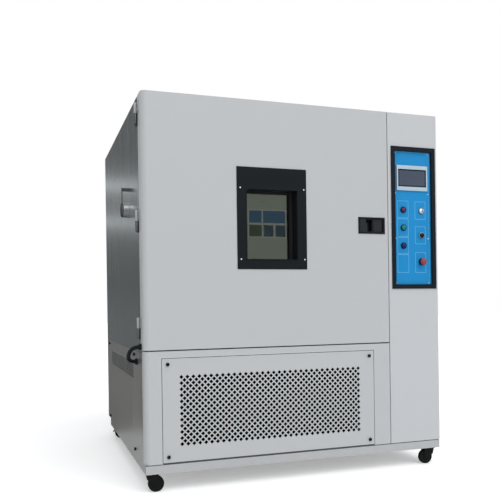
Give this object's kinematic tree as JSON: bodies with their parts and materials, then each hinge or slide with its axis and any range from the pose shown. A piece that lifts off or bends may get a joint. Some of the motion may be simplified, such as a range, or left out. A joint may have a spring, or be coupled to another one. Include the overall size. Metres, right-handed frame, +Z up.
{
  "type": "environmental test chamber",
  "caption": "Floor-standing environmental test chamber on casters, with an insulated test space behind a windowed door, a vented machine base and a side control column.",
  "frame": {"origin": "on the floor, under the middle of the part's box", "axes": "+Z up, the door and control column face -Y, +X to the right seen from the front"},
  "size_m": [1.638, 1.538, 1.84],
  "materials": {
    "black_plastic": "satin moulded",
    "brushed_side": "vertical brushed stainless",
    "button_dark": "gloss",
    "button_green": "gloss",
    "button_red": "gloss",
    "caster_black": "nylon",
    "caster_tread": "rubber tread",
    "chrome": "polished",
    "fins": "fin stock",
    "galvanised": "galvanised sheet",
    "gear_plastic": "moulded",
    "insulation": "foam",
    "machine_black": "black enamel",
    "painted_frame": "grey powder coat",
    "painted_front": "cool light grey powder coat",
    "panel_blue": "satin blue",
    "screen_glass": "display film",
    "screen_silver": "satin",
    "seal_rubber": "silicone",
    "stainless": "fine brushed stainless",
    "window_glass": "clear"
  },
  "bodies": {
    "cabinet": {"base_frame": "painted_frame", "caster_plates": "caster_black", "lower_fascia": "painted_front", "vent_panel": "painted_front", "panel_knobs": "black_plastic", "lower_side_panel": "brushed_side", "left_shell": "brushed_side", "right_shell": "brushed_side", "top_shell": "galvanised", "rear_panel": "galvanised", "rear_connections": "stainless", "mouth_frame": "stainless", "wall_insulation": "insulation", "inner_liner": "stainless", "duct_plate": "stainless", "fan_motor": "machine_black", "evaporator": "fins", "heater": "stainless", "shelf_rails": "stainless", "shelves": "stainless", "compressor": "machine_black", "condenser": "fins", "port_sleeve": "stainless", "cabinet_hinges": "chrome", "door_conduit": "black_plastic", "column_shell": "painted_front", "control_bezel": "black_plastic", "control_panel": "panel_blue", "switch_collars": "chrome", "screen_bezel": "screen_silver", "touch_screen": "screen_glass", "control_gear": "gear_plastic"},
    "door": {"door_skin": "painted_front", "door_core": "insulation", "door_liner": "stainless", "door_seal": "seal_rubber", "window_frame": "black_plastic", "window_panes": "window_glass", "latch_cup": "black_plastic", "door_hinges": "chrome"},
    "latch_paddle": {"latch_paddle": "black_plastic"},
    "port_cover": {"port_cover": "stainless"},
    "circulation_fan": {"circulation_fan": "fins"},
    "condenser_fan": {"condenser_fan": "machine_black"},
    "red_button": {"red_button": "button_red"},
    "green_button": {"green_button": "button_green"},
    "dark_button": {"dark_button": "button_dark"},
    "round_button": {"round_button": "black_plastic"},
    "key_switch": {"key_switch": "chrome"},
    "emergency_stop": {"emergency_stop": "button_red"},
    "caster_fork_front_left": {"caster_fork_front_left": "caster_black"},
    "caster_wheel_front_left": {"caster_wheel_front_left": "caster_tread"},
    "caster_fork_front_right": {"caster_fork_front_right": "caster_black"},
    "caster_wheel_front_right": {"caster_wheel_front_right": "caster_tread"},
    "caster_fork_rear_left": {"caster_fork_rear_left": "caster_black"},
    "caster_wheel_rear_left": {"caster_wheel_rear_left": "caster_tread"},
    "brake_pedal_rear_left": {"brake_pedal_rear_left": "caster_black"},
    "caster_fork_rear_right": {"caster_fork_rear_right": "caster_black"},
    "caster_wheel_rear_right": {"caster_wheel_rear_right": "caster_tread"},
    "brake_pedal_rear_right": {"brake_pedal_rear_right": "caster_black"}
  },
  "joints": [
    {"name": "door_hinge", "type": "hinge", "parent": "cabinet", "child": "door", "pos_m": [-0.77685, -0.657, 1.254], "axis": [0, 0, -1], "range_deg": [0, 115], "deforming": ["door_conduit"]},
    {"name": "latch_paddle_hinge", "type": "hinge", "parent": "door", "child": "latch_paddle", "pos_m": [0.46315, -0.746, 1.251], "axis": [0, 0, 1], "range_deg": [0, 35], "stiffness_Nm_per_rad": 0.4, "springref_deg": -11.46},
    {"name": "port_cover_swing", "type": "hinge", "parent": "cabinet", "child": "port_cover", "pos_m": [-0.79385, -0.326, 1.456], "axis": [1, 0, 0], "range_deg": [0, 110]},
    {"name": "circulation_fan_spin", "type": "hinge", "parent": "cabinet", "child": "circulation_fan", "pos_m": [-0.13385, 0.3493, 1.47], "axis": [0, 1, 0], "continuous": true},
    {"name": "condenser_fan_spin", "type": "hinge", "parent": "cabinet", "child": "condenser_fan", "pos_m": [0.09215, -0.599, 0.328], "axis": [0, 1, 0], "continuous": true},
    {"name": "red_button_press", "type": "slide", "parent": "cabinet", "child": "red_button", "axis": [0, 1, 0], "range_m": [0, 0.003], "stiffness_N_per_m": 400, "springref_m": -0.002},
    {"name": "green_button_press", "type": "slide", "parent": "cabinet", "child": "green_button", "axis": [0, 1, 0], "range_m": [0, 0.003], "stiffness_N_per_m": 400, "springref_m": -0.002},
    {"name": "dark_button_press", "type": "slide", "parent": "cabinet", "child": "dark_button", "axis": [0, 1, 0], "range_m": [0, 0.003], "stiffness_N_per_m": 400, "springref_m": -0.002},
    {"name": "round_button_press", "type": "slide", "parent": "cabinet", "child": "round_button", "axis": [0, 1, 0], "range_m": [0, 0.003], "stiffness_N_per_m": 400, "springref_m": -0.002},
    {"name": "key_turn", "type": "hinge", "parent": "cabinet", "child": "key_switch", "pos_m": [0.70515, -0.741, 1.336], "axis": [0, 1, 0], "range_deg": [0, 90]},
    {"name": "emergency_stop_press", "type": "slide", "parent": "cabinet", "child": "emergency_stop", "axis": [0, 1, 0], "range_m": [0, 0.005], "stiffness_N_per_m": 800, "springref_m": -0.003},
    {"name": "caster_swivel_front_left", "type": "hinge", "parent": "cabinet", "child": "caster_fork_front_left", "pos_m": [-0.73385, -0.721, 0.085], "axis": [0, 0, 1], "continuous": true},
    {"name": "caster_roll_front_left", "type": "hinge", "parent": "caster_fork_front_left", "child": "caster_wheel_front_left", "pos_m": [-0.71685, -0.721, 0.0375], "axis": [0, 1, 0], "continuous": true},
    {"name": "caster_swivel_front_right", "type": "hinge", "parent": "cabinet", "child": "caster_fork_front_right", "pos_m": [0.73915, -0.721, 0.085], "axis": [0, 0, 1], "continuous": true},
    {"name": "caster_roll_front_right", "type": "hinge", "parent": "caster_fork_front_right", "child": "caster_wheel_front_right", "pos_m": [0.72215, -0.721, 0.0375], "axis": [0, 1, 0], "continuous": true},
    {"name": "caster_swivel_rear_left", "type": "hinge", "parent": "cabinet", "child": "caster_fork_rear_left", "pos_m": [-0.72585, 0.583, 0.085], "axis": [0, 0, 1], "continuous": true},
    {"name": "caster_roll_rear_left", "type": "hinge", "parent": "caster_fork_rear_left", "child": "caster_wheel_rear_left", "pos_m": [-0.70885, 0.583, 0.0375], "axis": [0, 1, 0], "continuous": true},
    {"name": "brake_press_rear_left", "type": "hinge", "parent": "caster_fork_rear_left", "child": "brake_pedal_rear_left", "pos_m": [-0.73985, 0.583, 0.068], "axis": [0, -1, 0], "range_deg": [0, 8]},
    {"name": "caster_swivel_rear_right", "type": "hinge", "parent": "cabinet", "child": "caster_fork_rear_right", "pos_m": [0.73915, 0.583, 0.085], "axis": [0, 0, 1], "continuous": true},
    {"name": "caster_roll_rear_right", "type": "hinge", "parent": "caster_fork_rear_right", "child": "caster_wheel_rear_right", "pos_m": [0.72215, 0.583, 0.0375], "axis": [0, 1, 0], "continuous": true},
    {"name": "brake_press_rear_right", "type": "hinge", "parent": "caster_fork_rear_right", "child": "brake_pedal_rear_right", "pos_m": [0.75315, 0.583, 0.068], "axis": [0, 1, 0], "range_deg": [0, 8]}
  ]
}
